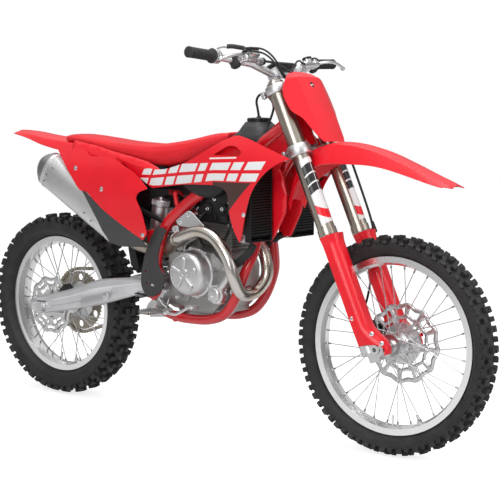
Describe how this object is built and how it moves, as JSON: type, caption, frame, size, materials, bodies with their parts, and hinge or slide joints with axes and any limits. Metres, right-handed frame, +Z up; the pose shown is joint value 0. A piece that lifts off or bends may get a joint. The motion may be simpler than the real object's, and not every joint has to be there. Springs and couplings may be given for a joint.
{
  "type": "motocross bike",
  "caption": "Off-road competition motorcycle with knobbly spoked wheels, upside-down fork, long seat, radiator shrouds and a single-cylinder engine; wheels spin and the fork steers.",
  "frame": {"origin": "top of the seat where the rider sits, on the bike's middle plane", "axes": "+X forward along the bike, +Y to the rider's left, +Z up with both wheels level on the ground"},
  "size_m": [2.1707, 0.8166, 1.2733],
  "materials": {
    "red_plastic": "gloss red",
    "red_paint": "gloss red paint",
    "seat_cover": "matt grained red",
    "alloy": "satin cast alloy",
    "rim_alloy": "polished alloy",
    "machined": "machined alloy",
    "fork_steel": "smooth titanium grey",
    "chromed": "bright",
    "pipe_steel": "polished steel",
    "black_plastic": "matt black",
    "grey_plastic": "dark grey textured",
    "black_alloy": "satin black",
    "tyre_rubber": "matt rubber",
    "grip_rubber": "ribbed rubber",
    "disc_steel": "ground steel",
    "chain_steel": "dull steel",
    "radiator_core": "finned"
  },
  "bodies": {
    "chassis": {"frame": "red_paint", "subframe": "alloy", "swingarm": "alloy", "axle_blocks": "machined", "linkage": "machined", "pivot_bolt": "machined", "shock": "machined", "engine_case": "alloy", "engine_covers": "alloy", "cylinder_barrel": "alloy", "cylinder_head": "black_alloy", "intake": "black_plastic", "exhaust_header": "pipe_steel", "silencer": "pipe_steel", "fuel_tank": "black_plastic", "seat": "seat_cover", "shroud_right": "red_plastic", "shroud_left": "red_plastic", "side_panel_right": "red_plastic", "side_panel_left": "red_plastic", "side_strips": "grey_plastic", "airbox": "black_plastic", "rear_fender": "red_plastic", "radiators": "radiator_core", "radiator_guards": "black_plastic", "frame_guards": "grey_plastic", "chain": "chain_steel", "chain_guide": "black_plastic", "footpegs": "machined", "brake_pedal": "machined", "shift_lever": "machined", "rear_caliper": "black_alloy", "rear_axle": "machined"},
    "steering": {"triple_clamps": "machined", "fork_tubes": "fork_steel", "fork_legs": "machined", "fork_guards": "red_plastic", "front_fender": "red_plastic", "number_plate": "red_plastic", "handlebar": "machined", "bar_pad": "black_plastic", "grips": "grip_rubber", "brake_lever": "machined", "clutch_lever": "machined", "front_caliper": "black_alloy", "front_axle": "machined", "brake_hose": "grip_rubber"},
    "front_wheel": {"front_tyre": "tyre_rubber", "front_rim": "rim_alloy", "front_hub": "machined", "front_disc": "disc_steel"},
    "rear_wheel": {"rear_tyre": "tyre_rubber", "rear_rim": "rim_alloy", "rear_hub": "machined", "rear_disc": "disc_steel", "rear_sprocket": "disc_steel"}
  },
  "joints": [
    {"name": "steer", "type": "hinge", "parent": "chassis", "child": "steering", "pos_m": [1.07194, 0, -0.954], "axis": [-0.4155, 0, 0.9096], "range_deg": [-45.92, 38.08]},
    {"name": "front_wheel_spin", "type": "hinge", "parent": "steering", "child": "front_wheel", "pos_m": [0.97488, 0.00383, -0.60705], "axis": [-0.0622, 0.9977, -0.0284], "continuous": true},
    {"name": "rear_wheel_spin", "type": "hinge", "parent": "chassis", "child": "rear_wheel", "pos_m": [-0.51, 0, -0.612], "axis": [0, 1, 0], "continuous": true}
  ]
}
